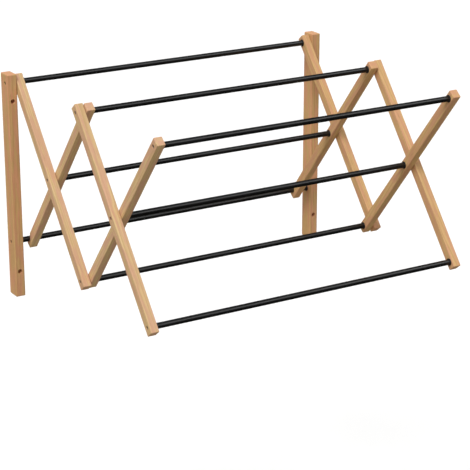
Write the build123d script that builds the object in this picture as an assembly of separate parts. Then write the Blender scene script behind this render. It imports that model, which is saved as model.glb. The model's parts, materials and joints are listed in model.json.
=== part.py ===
"""Wall mounted fold down drying rack: two wooden wall posts, two crossing pairs of
wooden bars on each side, and eight black tubes that join the two sides.

Frame: X runs along the tubes, +Y points into the wall, +Z is up. The wall is the
plane y = 0, x = 0 is the middle and z = 0 is the centre of the four wall screws.
The rack is modelled opened out. Sizes are in millimetres and degrees.
"""
import os
from math import cos, radians, sin

from build123d import *

# the side frames
inner_gap = 662.0
pivot_pitch = 458.0
open_angle = 39.0
folded_lean = 6.0

# wooden bars
bar_thick = 18.0
bar_width = 20.0
bar_end = 15.0
edge_round = 1.5

# wall posts
post_width = 22.0
post_depth = 34.0
post_above = 20.0
post_below = 120.0
pivot_behind_front = 12.5
post_round = 2.5

# wall screw holes in the posts
mount_inset = 58.0
mount_hole_r = 2.75
mount_recess_r = 5.0
mount_recess_deep = 10.0

# tubes and their end plugs
rod_r = 6.0
rod_wall = 1.0
plug_flange_r = 7.75
plug_flange = 2.0
plug_deep = 16.0
plug_round = 0.4

# pivot screws and washers
screw_r = 2.0
screw_bite = 14.0
head_r = 3.6
head_high = 2.4
head_sunk = 0.9
head_gap = 0.5
drive_long = 4.0
drive_wide = 0.9
drive_deep = 1.2
washer_r = 6.5
washer_thick = 1.0
running_clearance = 0.05

# the notch that rests on the lower wall tube
hook_offset = 5.0
hook_clearance = 0.3
relief_step = 0.75

# places along X, counted from the middle
inner_face = inner_gap / 2
inner_back = inner_face + bar_thick
outer_face = inner_back + washer_thick
outer_back = outer_face + bar_thick
post_face = outer_back + washer_thick
post_back = post_face + post_width

# places of the pivots, as (y, z) pairs
reach = pivot_pitch * sin(radians(open_angle))
drop = pivot_pitch * cos(radians(open_angle))
post_length = post_above + drop + post_below
pivot_y = pivot_behind_front - post_depth
pivot_z = post_length / 2 - post_above
wall_top = (pivot_y, pivot_z)
wall_low = (pivot_y, pivot_z - drop)
mid_top = (pivot_y - reach, pivot_z)
mid_low = (pivot_y - reach, pivot_z - drop)
front_top = (pivot_y - 2 * reach, pivot_z)
front_low = (pivot_y - 2 * reach, pivot_z - drop)
rear_cross = (pivot_y - reach / 2, pivot_z - drop / 2)
front_cross = (pivot_y - 1.5 * reach, pivot_z - drop / 2)
hook_rod = (
    wall_low[0] + hook_offset * cos(radians(open_angle)),
    wall_low[1] + hook_offset * sin(radians(open_angle)),
)


def x_cylinder(radius, x_start, x_end, y=0.0, z=0.0):
    """A round bar along X between two stations."""
    middle = (x_start + x_end) / 2
    return Pos(middle, y, z) * Rot(0, 90, 0) * Cylinder(radius, abs(x_end - x_start))


def both_sides(solid):
    """The piece on the +X side and its mirror image."""
    return solid, mirror(solid, Plane.YZ)


def screw_hole(x_in, x_out, place, sunk):
    """The clearance hole through one piece, with a counterbore if the head sits in it."""
    y, z = place
    hole = x_cylinder(screw_r + running_clearance, x_in - 1, x_out + 1, y, z)
    if sunk:
        floor = x_out - head_high - head_sunk
        hole += x_cylinder(head_r + head_gap, floor, x_out + 1, y, z)
    return hole


def bar(x_in, low_end, sunk_at):
    """A square cut bar standing on its lower pivot, with holes at both pivots and halfway."""
    long = pivot_pitch + 2 * bar_end
    blank = Box(bar_thick, bar_width, long)
    blank = fillet(blank.edges(), edge_round)
    blank = Pos(x_in + bar_thick / 2, 0, pivot_pitch / 2) * blank
    for name, along in (("low", 0.0), ("cross", pivot_pitch / 2), ("top", pivot_pitch)):
        if name == "low" and not low_end:
            continue
        blank -= screw_hole(x_in, x_in + bar_thick, (0, along), name in sunk_at)
    return blank


def hook_place(turn):
    """Where the lower wall tube lies in a hooked bar's own (width, length) frame.

    turn is how far the rear outer bar has folded back from its open angle.
    """
    lean = radians(open_angle - turn)
    tilt = radians(open_angle * (1 - turn / (open_angle - folded_lean)))
    foot_y = pivot_y + pivot_pitch / 2 * (sin(tilt) - sin(lean))
    foot_z = pivot_z - pivot_pitch / 2 * (cos(tilt) + cos(lean))
    off_y = hook_rod[0] - foot_y
    off_z = hook_rod[1] - foot_z
    return (
        cos(tilt) * off_y + sin(tilt) * off_z,
        cos(tilt) * off_z - sin(tilt) * off_y,
    )


def hook_cut():
    """The round seat, the way out of it that folding needs, and the cut back lower lip."""
    radius = rod_r + hook_clearance
    path = [hook_place(0.0)]
    while path[-1][0] < bar_width / 2 + radius:
        path.append(hook_place(relief_step * len(path)))
    x_from = inner_face - 1
    wide = bar_thick + 2
    cut = x_cylinder(radius, x_from, x_from + wide, *path[0])
    for (y_a, z_a), (y_b, z_b) in zip(path, path[1:]):
        run = ((y_b - y_a) ** 2 + (z_b - z_a) ** 2) ** 0.5
        side_y = -(z_b - z_a) / run * radius
        side_z = (y_b - y_a) / run * radius
        corners = [
            (y_a + side_y, z_a + side_z),
            (y_b + side_y, z_b + side_z),
            (y_b - side_y, z_b - side_z),
            (y_a - side_y, z_a - side_z),
        ]
        outline = Plane.YZ * make_face(Polyline(*corners, close=True))
        cut += Pos(x_from, 0, 0) * extrude(outline, wide, dir=(1, 0, 0))
        cut += x_cylinder(radius, x_from, x_from + wide, y_b, z_b)
    lip_y = path[0][0]
    lip = Box(wide, bar_width, bar_end + 1, align=(Align.MIN, Align.MIN, Align.MAX))
    return cut + Pos(x_from, lip_y, path[0][1]) * lip


def place_bar(solid, low_pivot, tilt):
    """Tilt a bar about X and stand it on its lower pivot."""
    return Pos(0, *low_pivot) * Rot(tilt, 0, 0) * solid


def post():
    """A wall post on the +X side, with its two pivot holes and two wall screw holes."""
    middle = (post_face + post_back) / 2
    body = fillet(Box(post_width, post_depth, post_length).edges(), post_round)
    body = Pos(middle, -post_depth / 2, 0) * body
    body -= screw_hole(post_face, post_back, wall_top, True)
    body -= screw_hole(post_face, post_back, hook_rod, True)
    for z in (post_length / 2 - mount_inset, mount_inset - post_length / 2):
        through = Rot(90, 0, 0) * Cylinder(mount_hole_r, 2 * post_depth + 2)
        recess = Rot(90, 0, 0) * Cylinder(mount_recess_r, 2 * mount_recess_deep)
        body -= Pos(middle, 0, z) * through
        body -= Pos(middle, -post_depth, z) * recess
    return body


def rod(end_x, place):
    """A tube whose end plugs just reach the wood at each end."""
    tube_end = end_x - plug_flange
    tube = x_cylinder(rod_r, -tube_end, tube_end, *place)
    return tube - x_cylinder(rod_r - rod_wall, -tube_end - 1, tube_end + 1, *place)


def plug(end_x, place):
    """A plastic end plug: a flange against the wood and a body pushed into the tube."""
    flange = x_cylinder(plug_flange_r, end_x - plug_flange, end_x)
    flange = fillet(flange.edges().filter_by(GeomType.CIRCLE), plug_round)
    body = x_cylinder(rod_r - rod_wall, end_x - plug_flange - plug_deep, end_x - plug_flange)
    body = flange + body
    body -= x_cylinder(screw_r, end_x - screw_bite, end_x + 1)
    return Pos(0, *place) * body


def screw(end_x, head_x, place):
    """A pivot screw: a cross drive head sunk below head_x and a shank into the plug."""
    seat = head_x - head_high - head_sunk
    head_top = seat + head_high
    body = x_cylinder(screw_r, end_x - screw_bite, seat + head_high / 2)
    body += x_cylinder(head_r, seat, head_top)
    slot = Box(drive_deep, drive_long, drive_wide)
    cross = slot + Box(drive_deep, drive_wide, drive_long)
    return Pos(0, *place) * (body - Pos(head_top - drive_deep / 2, 0, 0) * cross)


def washer(face_x, place):
    """A thin nylon washer that keeps two turning pieces apart."""
    ring = x_cylinder(washer_r, face_x, face_x + washer_thick, *place)
    return ring - x_cylinder(
        screw_r + running_clearance, face_x - 1, face_x + washer_thick + 1, *place
    )


pieces = {}


def keep_sides(name, solid):
    """File one piece for each side."""
    right, left = both_sides(solid)
    pieces[name + "_right"] = right
    pieces[name + "_left"] = left


def keep_pair(name, solid):
    """File the two identical pieces of a pair as one group."""
    pieces[name] = Compound(children=list(both_sides(solid)))


keep_sides("post", post())

rear_outer = bar(outer_face, True, ("low", "cross"))
front_outer = bar(outer_face, True, ("low", "cross", "top"))
rear_inner = bar(inner_face, False, ()) - hook_cut()
front_inner = bar(inner_face, True, ("top",))
keep_sides("bar_rear_outer", place_bar(rear_outer, mid_low, -open_angle))
keep_sides("bar_rear_inner", place_bar(rear_inner, wall_low, open_angle))
keep_sides("bar_front_outer", place_bar(front_outer, front_low, -open_angle))
keep_sides("bar_front_inner", place_bar(front_inner, mid_low, open_angle))

# each tube: its name, the wood its ends reach, the face its screws enter by, its place
rods = (
    ("wall_top", outer_face, post_back, wall_top),
    ("wall_low", post_face, post_back, hook_rod),
    ("mid_top", inner_face, outer_back, mid_top),
    ("mid_low", inner_face, outer_back, mid_low),
    ("front_top", inner_face, inner_back, front_top),
    ("front_low", outer_face, outer_back, front_low),
    ("rear_cross", inner_face, outer_back, rear_cross),
    ("front_cross", inner_face, outer_back, front_cross),
)
for name, end_x, head_x, place in rods:
    pieces["rod_" + name] = rod(end_x, place)
    keep_pair("plugs_" + name, plug(end_x, place))
    keep_pair("screws_" + name, screw(end_x, head_x, place))

keep_pair("washers_wall_top", washer(outer_back, wall_top))
keep_pair("washers_mid_top", washer(inner_back, mid_top))
keep_pair("washers_mid_low", washer(inner_back, mid_low))
keep_pair("washers_rear_cross", washer(inner_back, rear_cross))
keep_pair("washers_front_cross", washer(inner_back, front_cross))

os.makedirs("parts", exist_ok=True)
for node, solid in pieces.items():
    solid.label = node
    export_step(solid, "parts/" + node + ".step")
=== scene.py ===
import json
import math

import bpy
import numpy as np
from mathutils import Euler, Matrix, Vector


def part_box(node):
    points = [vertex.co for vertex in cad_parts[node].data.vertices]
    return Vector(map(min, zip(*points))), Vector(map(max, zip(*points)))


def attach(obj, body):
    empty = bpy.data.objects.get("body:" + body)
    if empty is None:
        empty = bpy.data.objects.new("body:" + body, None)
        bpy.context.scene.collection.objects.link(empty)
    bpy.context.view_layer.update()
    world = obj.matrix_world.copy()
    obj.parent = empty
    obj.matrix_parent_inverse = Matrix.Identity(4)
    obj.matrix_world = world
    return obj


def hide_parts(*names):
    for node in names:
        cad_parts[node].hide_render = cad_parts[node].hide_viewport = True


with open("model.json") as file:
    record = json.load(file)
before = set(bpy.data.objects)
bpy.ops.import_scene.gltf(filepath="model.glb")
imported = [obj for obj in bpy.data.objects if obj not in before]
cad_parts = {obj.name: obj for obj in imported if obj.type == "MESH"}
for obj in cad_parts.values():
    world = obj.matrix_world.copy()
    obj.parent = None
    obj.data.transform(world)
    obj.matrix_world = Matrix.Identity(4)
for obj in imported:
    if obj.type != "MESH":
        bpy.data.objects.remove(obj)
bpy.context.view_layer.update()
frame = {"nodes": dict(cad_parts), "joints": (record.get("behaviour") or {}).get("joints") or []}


# ---------------------------------------------------------------------------
# The view: a long lens to the left of the rack and a little above it, level
# across, looking at the open side of the concertina.
view_from = (-1.8109, -3.3461, 1.1331)
view_turn = 0.5374
view_tip = 0.3335
lens = bpy.data.cameras.new("rack_view")
lens.sensor_width = 36.0
lens.lens = 134.6
lens.clip_start = 0.05
lens.clip_end = 60.0
viewer = bpy.data.objects.new("rack_view", lens)
viewer.location = view_from
viewer.rotation_euler = (math.pi / 2 - view_tip, 0.0, -view_turn)
bpy.context.scene.collection.objects.link(viewer)
bpy.context.scene.camera = viewer


# ---------------------------------------------------------------------------
# Wall posts: two lengths of planed pine, oiled, that stand flat on the wall and
# are screwed to it through two recessed holes each. They carry the whole rack.
class Wire:
    """A shader socket that can be used in a sum, so that a formula builds its own nodes."""

    def __init__(self, tree, socket=None):
        self.tree = tree
        self.socket = socket

    def node(self, kind, settings, sockets, output=0):
        """Adds one node: its settings first, then a value or a wire for each named socket."""
        made = self.tree.nodes.new(kind)
        for name, value in settings.items():
            if name != "stops":
                setattr(made, name, value)
                continue
            ramp = made.color_ramp.elements
            while len(ramp) < len(value):
                ramp.new(0.5)
            for stop, (place, colour) in zip(ramp, value):
                stop.position = place
                stop.color = colour
        for name, value in sockets.items():
            if isinstance(value, Wire):
                self.tree.links.new(value.socket, made.inputs[name])
            else:
                made.inputs[name].default_value = value
        return Wire(self.tree, made.outputs[output])

    def maths(self, operation, first, second):
        """One step of arithmetic on two values, either of which may be a plain number."""
        return self.node("ShaderNodeMath", {"operation": operation}, {0: first, 1: second})

    def __add__(self, other):
        return self.maths("ADD", self, other)

    def __sub__(self, other):
        return self.maths("SUBTRACT", self, other)

    def __rsub__(self, other):
        return self.maths("SUBTRACT", other, self)

    def __mul__(self, other):
        return self.maths("MULTIPLY", self, other)

    def __abs__(self):
        return self.node("ShaderNodeMath", {"operation": "ABSOLUTE"}, {0: self})

    __radd__ = __add__
    __rmul__ = __mul__

    def part(self, letter):
        """One coordinate of a vector: X, Y or Z."""
        return self.node("ShaderNodeSeparateXYZ", {}, {"Vector": self}, letter)

    def noise(self, scale, detail, rough=0.5):
        """Soft random values from 0 to 1 at this place, scale of them to a metre."""
        return self.node(
            "ShaderNodeTexNoise", {},
            {"Vector": self, "Scale": scale, "Detail": detail, "Roughness": rough},
        )

    def relief(self, strength, distance):
        """Surface directions for a height of this value times distance, in metres."""
        return self.node(
            "ShaderNodeBump", {}, {"Height": self, "Strength": strength, "Distance": distance}
        )

    def steep(self, low, high):
        """0 below low, 1 above high, with a soft step between."""
        return self.node(
            "ShaderNodeMapRange",
            {"interpolation_type": "SMOOTHSTEP"},
            {"Value": self, "From Min": low, "From Max": high},
        )

    def mixed(self, first, second):
        """The first colour where this is 0 and the second where it is 1."""
        return self.node("ShaderNodeMix", {"data_type": "RGBA"}, {0: self, 6: first, 7: second}, 2)


def new_finish(name):
    """A material, its Principled shader, and a wire that holds a place on the piece."""
    finish = bpy.data.materials.new(name)
    finish.use_nodes = True
    tree = finish.node_tree
    tree.nodes.clear()
    shader = tree.nodes.new("ShaderNodeBsdfPrincipled")
    out = tree.nodes.new("ShaderNodeOutputMaterial")
    tree.links.new(shader.outputs[0], out.inputs[0])
    return finish, shader, Wire(tree).node("ShaderNodeTexCoord", {}, {}, "Object")


def connect(shader, **wires):
    """Links wires to the shader's sockets, whose names have _ for a space."""
    for name, wire in wires.items():
        wire.tree.links.new(wire.socket, shader.inputs[name.replace("_", " ")])


def pine(name, middle, tilt, half, pith, seed, tones):
    """Oiled pine, sawn from one side of a trunk.

    A point is centred on the piece and turned so that its length is Z. The growth
    rings are circles about the trunk's pith, which lies outside the piece and drifts
    along it: ring count = rings per metre x distance from the pith + a slow waver.
    Each ring fades from pale early wood to a narrow brown late band and starts again.
    pith is its X and Y beside the middle, then how far X and Y drift in a metre.
    """
    finish, shader, place = new_finish(name)
    turn = Euler((-tilt, 0.0, 0.0))
    shift = -(turn.to_matrix() @ Vector(middle))
    place = place.node(
        "ShaderNodeMapping", {"vector_type": "POINT"},
        {"Vector": place, "Location": shift, "Rotation": turn},
    )

    def grain(scale, detail, along, offset=0.0):
        """Noise drawn out along the length, by 1 / along."""
        own_spot = (seed * 3.1 + offset, seed * 1.7, seed * 2.3)
        drawn = place.node(
            "ShaderNodeMapping", {"vector_type": "POINT"},
            {"Vector": place, "Location": own_spot, "Scale": (1.0, 1.0, along)},
        )
        return drawn.noise(scale, detail, 0.55)

    rings_per_metre = 250.0
    across, wide, along = place.part("X"), place.part("Y"), place.part("Z")
    waver = grain(9.0, 3.0, 0.35)
    from_pith = place.node(
        "ShaderNodeCombineXYZ", {},
        {"X": across - pith[0] + along * pith[2] + waver * 0.010,
         "Y": wide - pith[1] + along * pith[3], "Z": 0.0},
    )
    distance = place.node("ShaderNodeVectorMath", {"operation": "LENGTH"}, {0: from_pith}, "Value")
    rings = distance * rings_per_metre + waver * 1.6 + grain(40.0, 2.0, 0.12, 5.0) * 0.5
    within = place.node("ShaderNodeMath", {"operation": "FRACT"}, {0: rings})
    lateness = ((0.0, 0.25), (0.12, 0.0), (0.62, 0.25), (0.9, 1.0), (1.0, 0.3))
    late = place.node(
        "ShaderNodeValToRGB",
        {"stops": [(reached, (grey, grey, grey, 1.0)) for reached, grey in lateness]},
        {"Fac": within},
    )
    late = place.node("ShaderNodeRGBToBW", {}, {"Color": late})

    # rosy and straw coloured streaks, brown clouds, fine fibres and short resin flecks
    streak = grain(120.0, 1.0, 0.13, 11.0).steep(0.42, 0.58)
    cloud = grain(24.0, 3.0, 0.3, 17.0).steep(0.38, 0.68)
    fibre = grain(1500.0, 3.0, 0.022, 23.0)
    fleck = grain(620.0, 1.0, 0.05, 29.0).steep(0.67, 0.75)
    pale, brown, rosy, dark = tones
    colour = (late * 0.60).mixed(pale, brown)
    colour = (streak * 0.74).mixed(colour, rosy)
    colour = (cloud * 0.22).mixed(colour, brown)
    colour = (fibre.steep(0.42, 0.75) * 0.34).mixed(colour, brown)
    colour = (fleck * 0.28).mixed(colour, dark)

    # end grain is a little rosier and duller, and long edges are darkened by handling
    facing = place.node("ShaderNodeTexCoord", {}, {}, "Normal")
    length_way = (0.0, -math.sin(tilt), math.cos(tilt))
    end_on = place.node(
        "ShaderNodeVectorMath", {"operation": "DOT_PRODUCT"}, {0: facing, 1: length_way}, "Value"
    )
    end_on = abs(end_on).steep(0.55, 0.95)
    colour = (end_on * 0.35).mixed(colour, rosy)
    to_side = abs(across) * (1.0 / half[0])
    to_face = abs(wide) * (1.0 / half[1])
    edge = (to_side * to_face).steep(0.84, 1.0) * grain(60.0, 2.0, 0.3, 31.0)
    colour = (edge * 0.40).mixed(colour, dark)
    raised = late * 0.5 + fibre * 0.8 + grain(180.0, 2.0, 0.2, 37.0) * 0.5
    connect(
        shader, Base_Color=colour, Normal=raised.relief(0.30, 0.0004),
        Roughness=0.50 + fibre * 0.14 - late * 0.08 + end_on * 0.16,
    )
    shader.inputs["Specular IOR Level"].default_value = 0.38
    return finish


nodes = frame["nodes"]
post_tones = (
    (0.700, 0.445, 0.188, 1.0), (0.430, 0.205, 0.082, 1.0),
    (0.730, 0.340, 0.195, 1.0), (0.200, 0.085, 0.030, 1.0),
)
for side, name in enumerate(("post_left", "post_right")):
    low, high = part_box(name)
    half = (high - low) / 2
    pith = (0.035 - 0.07 * side, 0.045, 0.012, -0.015)
    nodes[name].data.materials.clear()
    nodes[name].data.materials.append(
        pine("pine_" + name, (low + high) / 2, 0.0, half, pith, 1.0 + side, post_tones)
    )


# ---------------------------------------------------------------------------
# Crossing bars: four planed pine bars on each side, square cut, edges eased by
# sanding, drilled at both ends and halfway, and turning on the pivot screws. The
# right side's bars are sawn from a board of a slightly deeper, more orange colour.
bar_tones = {
    "_left": (
        (0.745, 0.535, 0.270, 1.0), (0.500, 0.280, 0.125, 1.0),
        (0.680, 0.375, 0.255, 1.0), (0.240, 0.130, 0.050, 1.0),
    ),
    "_right": (
        (0.715, 0.461, 0.204, 1.0), (0.480, 0.244, 0.091, 1.0),
        (0.653, 0.322, 0.189, 1.0), (0.230, 0.113, 0.039, 1.0),
    ),
}
pivots = {joint["name"]: Vector(joint["pos_m"]) for joint in frame["joints"]}
upper = pivots["mid_top_pivot"] - pivots["rear_cross_pivot"]
lean = math.atan2(-upper.y, upper.z)
bar_width = 0.020
bars = (
    ("bar_rear_outer", "rear_cross_pivot", -lean, (0.060, 0.020, 0.02, -0.03)),
    ("bar_rear_inner", "rear_cross_pivot", lean, (-0.030, 0.050, -0.02, 0.02)),
    ("bar_front_outer", "front_cross_pivot", -lean, (0.025, -0.055, 0.03, 0.02)),
    ("bar_front_inner", "front_cross_pivot", lean, (-0.050, -0.030, 0.02, -0.02)),
)
for count, (name, crossing, tilt, pith) in enumerate(bars):
    for side, (hand, tones) in enumerate(bar_tones.items()):
        bar = nodes[name + hand]
        low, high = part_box(name + hand)
        middle = ((low.x + high.x) / 2, pivots[crossing].y, pivots[crossing].z)
        half = ((high.x - low.x) / 2, bar_width / 2)
        seed = 4.0 + 2.0 * count + side
        own_pith = (pith[0] * (1 - 2 * side), pith[1], pith[2], pith[3])
        bar.data.materials.clear()
        bar.data.materials.append(
            pine("pine_" + name + hand, middle, tilt, half, own_pith, seed, tones)
        )


# ---------------------------------------------------------------------------
# Tubes: eight thin walled steel tubes, powder coated satin black, that tie the
# two sides together and carry the washing.
def turned(rows_x, rows_r, steps, place, closed):
    """Vertices and faces of a shape turned about an X line through place.

    Row i, step j is the point (x[i, j], y0 + r[i, j] cos t, z0 + r[i, j] sin t), with t
    going once round. A closed profile joins its last row to its first; an open one is
    shut by a single point at each end.
    """
    rows = len(rows_x)
    angle = np.arange(steps) * (2 * np.pi / steps)
    x = np.broadcast_to(np.asarray(rows_x, float).reshape(rows, -1), (rows, steps))
    r = np.broadcast_to(np.asarray(rows_r, float).reshape(rows, -1), (rows, steps))
    points = np.stack([x, place[1] + r * np.cos(angle), place[2] + r * np.sin(angle)], -1).reshape(-1, 3)
    here = np.arange(rows * steps).reshape(rows, steps)
    after = np.roll(here, -1, axis=1)
    if closed:
        near, far, near_next, far_next = here, np.roll(here, -1, 0), after, np.roll(after, -1, 0)
    else:
        near, far, near_next, far_next = here[:-1], here[1:], after[:-1], after[1:]
    faces = [np.stack([near, near_next, far_next, far], -1).reshape(-1, 4)]
    if not closed:
        first, last = np.full(steps, len(points)), np.full(steps, len(points) + 1)
        ends = np.array([[x[0].mean(), place[1], place[2]], [x[-1].mean(), place[1], place[2]]])
        points = np.concatenate([points, ends])
        faces += [np.stack([first, after[0], here[0]], -1), np.stack([here[-1], after[-1], last], -1)]
    return points, faces


def mirrored(points, faces):
    """The shape and its mirror image across x = 0, with the image's faces turned to match."""
    image = points * np.array([-1.0, 1.0, 1.0])
    both = [np.concatenate([part, part[:, ::-1] + len(points)]) for part in faces]
    return np.concatenate([points, image]), both


def as_piece(name, points, faces, finish, body):
    """Makes the mesh, points its faces outwards, smooths it and hangs it on its body."""
    crease = 0.7
    mesh = bpy.data.meshes.new(name)
    mesh.from_pydata(points.tolist(), [], [face for part in faces for face in part.tolist()])
    mesh.validate()
    piece = bpy.data.objects.new(name, mesh)
    bpy.context.scene.collection.objects.link(piece)
    bpy.ops.object.select_all(action="DESELECT")
    bpy.context.view_layer.objects.active = piece
    piece.select_set(True)
    bpy.ops.object.mode_set(mode="EDIT")
    bpy.ops.mesh.select_all(action="SELECT")
    bpy.ops.mesh.normals_make_consistent(inside=False)
    bpy.ops.object.mode_set(mode="OBJECT")
    mesh.polygons.foreach_set("use_smooth", [True] * len(mesh.polygons))
    mesh.set_sharp_from_angle(angle=crease)
    mesh.materials.append(finish)
    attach(piece, body)
    return piece


def eased(profile, radius):
    """A closed profile of (x, r) corners with each corner rounded by a short arc.

    Each corner p becomes four points on the curve (1-t)^2 a + 2t(1-t) p + t^2 b, where a
    and b lie radius away from p along its two sides.
    """
    corner = np.asarray(profile, float)
    before, behind = np.roll(corner, 1, 0) - corner, np.roll(corner, -1, 0) - corner
    reach = np.minimum(radius, 0.4 * np.minimum(*[np.hypot(*d.T) for d in (before, behind)]))[:, None]
    a = corner + before / np.hypot(*before.T)[:, None] * reach
    b = corner + behind / np.hypot(*behind.T)[:, None] * reach
    t = np.linspace(0.0, 1.0, 4)[:, None, None]
    curve = (1 - t) ** 2 * a + 2 * t * (1 - t) * corner + t ** 2 * b
    return curve.transpose(1, 0, 2).reshape(-1, 2)


def powder_coat(name):
    """Satin black powder coat: fine orange peel over a soft, slightly uneven sheen."""
    finish, shader, place = new_finish(name)
    peel = place.noise(900.0, 2.0)
    smear = place.noise(14.0, 4.0)
    drawn = place.node(
        "ShaderNodeMapping", {"vector_type": "POINT"}, {"Vector": place, "Scale": (0.06, 1.0, 1.0)}
    )
    rubbed = drawn.noise(420.0, 3.0)
    dust = smear.steep(0.45, 0.75) * 0.5 + rubbed.steep(0.5, 0.8) * 0.3
    colour = dust.mixed((0.0050, 0.0050, 0.0054, 1.0), (0.0130, 0.0130, 0.0138, 1.0))
    relief = (peel + rubbed * 0.3).relief(0.12, 0.0002)
    connect(shader, Base_Color=colour, Roughness=0.20 + smear * 0.10 + rubbed * 0.06, Normal=relief)
    return finish


coat = powder_coat("satin_black_powder_coat")
tube_wall = 0.001
tube_ease = 0.0003
tube_facets = 64
body_of = {
    "wall_top": "wall_frame", "wall_low": "wall_frame", "mid_top": "rear_inner",
    "rear_cross": "rear_inner", "front_low": "front_outer", "mid_low": "front_inner",
    "front_top": "front_inner", "front_cross": "front_inner",
}
for where, body in body_of.items():
    low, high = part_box("rod_" + where)
    centre = (low + high) / 2
    radius = (high.z - low.z) / 2
    bore = radius - tube_wall
    loop = eased([(low.x, bore), (low.x, radius), (high.x, radius), (high.x, bore)], tube_ease)
    points, faces = turned(loop[:, 0], loop[:, 1], tube_facets, centre, True)
    tube = as_piece("tube_" + where, points, faces, coat, body)
    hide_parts("rod_" + where)


# ---------------------------------------------------------------------------
# End plugs: moulded black plastic, pushed into each tube's ends. The flange stands
# between the tube and the wood, and the pivot screw bites into the plug's middle.
def moulded(name):
    """Moulded black plastic with a fine spark texture."""
    finish, shader, place = new_finish(name)
    spark = place.noise(2600.0, 2.0)
    cloud = place.noise(160.0, 3.0)
    colour = cloud.steep(0.3, 0.8).mixed((0.009, 0.009, 0.010, 1.0), (0.020, 0.020, 0.021, 1.0))
    connect(shader, Base_Color=colour, Roughness=0.42 + spark * 0.16, Normal=spark.relief(0.18, 0.0002))
    return finish


plastic = moulded("moulded_black_plastic")
flange_thick = 0.002
plug_hole = 0.002
plug_deep = 0.016
lead_in = 0.002
lead_in_deep = 0.0008
plug_ease = 0.0005
small_facets = 56
for where, body in body_of.items():
    tube_low, tube_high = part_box("rod_" + where)
    low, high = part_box("plugs_" + where)
    centre = (low + high) / 2
    flange = (high.z - low.z) / 2
    neck = (tube_high.z - tube_low.z) / 2 - tube_wall
    shoulder = high.x - flange_thick
    inner_end = shoulder - plug_deep
    loop = eased(
        [(high.x, plug_hole), (high.x, flange), (shoulder, flange), (shoulder, neck),
         (inner_end + lead_in, neck), (inner_end, neck - lead_in_deep), (inner_end, plug_hole)],
        plug_ease,
    )
    points, faces = mirrored(*turned(loop[:, 0], loop[:, 1], small_facets, centre, True))
    plugs = as_piece("end_plugs_" + where, points, faces, plastic, body)
    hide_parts("plugs_" + where)


# ---------------------------------------------------------------------------
# Pivot screws: zinc plated steel with a low domed head and a cross drive, sunk in a
# counterbore so that nothing catches, and driven through the wood into the plug.
def zinc(name):
    """Zinc plate: a grey metal with fine pits and a dull film in places."""
    finish, shader, place = new_finish(name)
    film = place.noise(700.0, 3.0)
    pitted = place.noise(4200.0, 2.0)
    colour = film.steep(0.35, 0.75).mixed((0.30, 0.29, 0.27, 1.0), (0.15, 0.145, 0.13, 1.0))
    connect(shader, Base_Color=colour, Roughness=0.24 + film * 0.22, Normal=pitted.relief(0.15, 0.0001))
    shader.inputs["Metallic"].default_value = 1.0
    return finish


plated = zinc("zinc_plated_steel")
shank = 0.002
screw_past_flange = 0.014
head_high = 0.0024
head_ease = 0.0003
dome = 0.0007
drive_half = 0.0019
drive_web = 0.00045
drive_deep = 0.0012
drive_flank = 0.00018
drive_end = 0.0003
head_facets = 96
head_rings = 26
for where, body in body_of.items():
    low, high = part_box("screws_" + where)
    plug_low, plug_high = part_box("plugs_" + where)
    centre = (low + high) / 2
    head = (high.z - low.z) / 2
    tip = plug_high.x - screw_past_flange
    angle = np.arange(head_facets) * (2 * np.pi / head_facets)
    # the head's top: x = dome height at r, less the cross, whose arms are shallower outwards
    r = np.linspace(0.0002, head, head_rings)[:, None]
    across = np.minimum(np.abs(r * np.cos(angle)), np.abs(r * np.sin(angle)))
    out = np.maximum(np.abs(r * np.cos(angle)), np.abs(r * np.sin(angle)))
    arm = np.clip((drive_web - across) / drive_flank + 0.5, 0, 1)
    arm = arm * np.clip((drive_half - out) / drive_end, 0, 1)
    cone = np.clip(1.0 - out / (drive_half * 1.35), 0, 1)
    top_x = high.x - dome * (r / head) ** 2 - drive_deep * arm * (0.45 + 0.55 * cone)
    seat = high.x - head_high
    below = np.array([
        (seat + head_ease, head), (seat, head - head_ease), (seat, shank),
        (tip + 0.002, shank), (tip + 0.0012, shank * 0.8), (tip, shank * 0.25),
    ])
    rows_x = np.concatenate([top_x, np.repeat(below[:, :1], head_facets, 1)])
    rows_r = np.concatenate([np.repeat(r, head_facets, 1), np.repeat(below[:, 1:], head_facets, 1)])
    points, faces = mirrored(*turned(rows_x, rows_r, head_facets, centre, False))
    screws = as_piece("pivot_screws_" + where, points, faces, plated, body)
    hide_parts("screws_" + where)


# ---------------------------------------------------------------------------
# Washers: thin natural nylon rings on the pivot screws, between two pieces that
# turn against each other, so that wood never rubs on wood.
def nylon(name):
    """Natural nylon: creamy, slightly waxy, with faint cloudy variation."""
    finish, shader, place = new_finish(name)
    cloud = place.noise(300.0, 3.0)
    colour = cloud.steep(0.3, 0.8).mixed((0.62, 0.57, 0.46, 1.0), (0.50, 0.45, 0.35, 1.0))
    connect(shader, Base_Color=colour, Roughness=0.38 + cloud * 0.16, Normal=cloud.relief(0.1, 0.0002))
    return finish


waxy = nylon("natural_nylon")
washer_thick = 0.001
washer_hole = 0.00205
washer_ease = 0.0003
for where in ("wall_top", "mid_top", "mid_low", "rear_cross", "front_cross"):
    low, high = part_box("washers_" + where)
    centre = (low + high) / 2
    rim = (high.z - low.z) / 2
    inner = high.x - washer_thick
    loop = eased(
        [(high.x, washer_hole), (high.x, rim), (inner, rim), (inner, washer_hole)], washer_ease
    )
    points, faces = mirrored(*turned(loop[:, 0], loop[:, 1], small_facets, centre, True))
    washers = as_piece("washer_pair_" + where, points, faces, waxy, body_of[where])
    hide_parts("washers_" + where)


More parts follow.
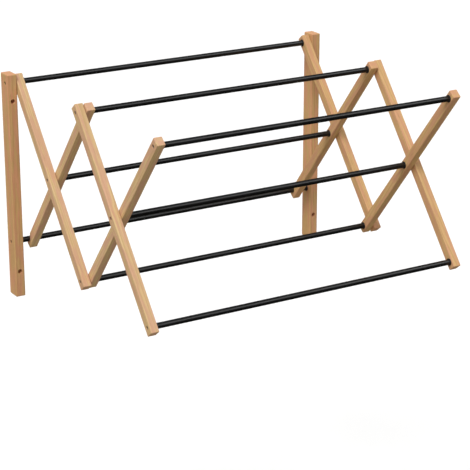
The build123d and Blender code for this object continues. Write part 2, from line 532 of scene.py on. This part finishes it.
# ---------------------------------------------------------------------------
# The studio: a pale floor well below the rack, a white surround, one broad soft light
# overhead on the left and in front, and a weak one behind on the right.
floor_level = -0.9
floor_reach = 14.0
floor_mesh = bpy.data.meshes.new("studio_floor")
floor_mesh.from_pydata(
    [(-floor_reach, -floor_reach, floor_level), (floor_reach, -floor_reach, floor_level),
     (floor_reach, floor_reach, floor_level), (-floor_reach, floor_reach, floor_level)],
    [], [(0, 1, 2, 3)],
)
studio_floor = bpy.data.objects.new("studio_floor", floor_mesh)
bpy.context.scene.collection.objects.link(studio_floor)
pale_floor, pale_shader, _ = new_finish("pale_floor")
pale_shader.inputs["Base Color"].default_value = (0.96, 0.96, 0.955, 1.0)
pale_shader.inputs["Roughness"].default_value = 0.9
floor_mesh.materials.append(pale_floor)
studio_floor.visible_diffuse = False
studio_floor.visible_glossy = False

# The surround is plain white behind the rack. As light it is even and a little warm from
# below; as a reflection it is dark, with one bright band in front for the tubes to mirror.
surround = bpy.data.worlds.new("studio_surround")
bpy.context.scene.world = surround
surround.use_nodes = True
surround.node_tree.nodes.clear()
sky = Wire(surround.node_tree)
seen = sky.node("ShaderNodeLightPath", {}, {}, "Is Camera Ray")
in_gloss = sky.node("ShaderNodeLightPath", {}, {}, "Is Glossy Ray")
way = sky.node("ShaderNodeTexCoord", {}, {}, "Generated")
height = way.part("Z")
ahead = 0.0 - way.part("Y")
ambient = height.steep(-0.4, 0.4) * 0.05 + 0.43
band = height.steep(0.30, 0.48) * (1.0 - height.steep(0.66, 0.84)) * ahead.steep(0.0, 0.3)
reflected = height.steep(0.05, 0.75) * 0.12 + 0.03 + band * 2.4
lit = ambient + in_gloss * (reflected - ambient)
warmth = (1.0 - height.steep(-0.6, 0.2)) * (1.0 - seen)
tint = warmth.mixed((1.0, 1.0, 1.0, 1.0), (1.0, 0.96, 0.80, 1.0))
glow = sky.node("ShaderNodeBackground", {}, {"Color": tint, "Strength": lit + seen * (1.0 - lit)})
sky_out = surround.node_tree.nodes.new("ShaderNodeOutputWorld")
surround.node_tree.links.new(glow.socket, sky_out.inputs[0])

lamp = bpy.data.lights.new("overhead_softbox", "SUN")
lamp.angle = math.radians(35.0)
lamp.energy = 2.25
overhead = bpy.data.objects.new("overhead_softbox", lamp)
overhead.rotation_euler = Vector((0.51, 0.34, -0.79)).to_track_quat("-Z", "Y").to_euler()
bpy.context.scene.collection.objects.link(overhead)
panel = bpy.data.lights.new("rear_fill_panel", "SUN")
panel.angle = math.radians(60.0)
panel.energy = 0.9
rear_fill = bpy.data.objects.new("rear_fill_panel", panel)
rear_fill.rotation_euler = Vector((-0.78, -0.45, -0.43)).to_track_quat("-Z", "Y").to_euler()
rear_fill.visible_glossy = False
bpy.context.scene.collection.objects.link(rear_fill)
bpy.context.scene.view_settings.view_transform = "Standard"
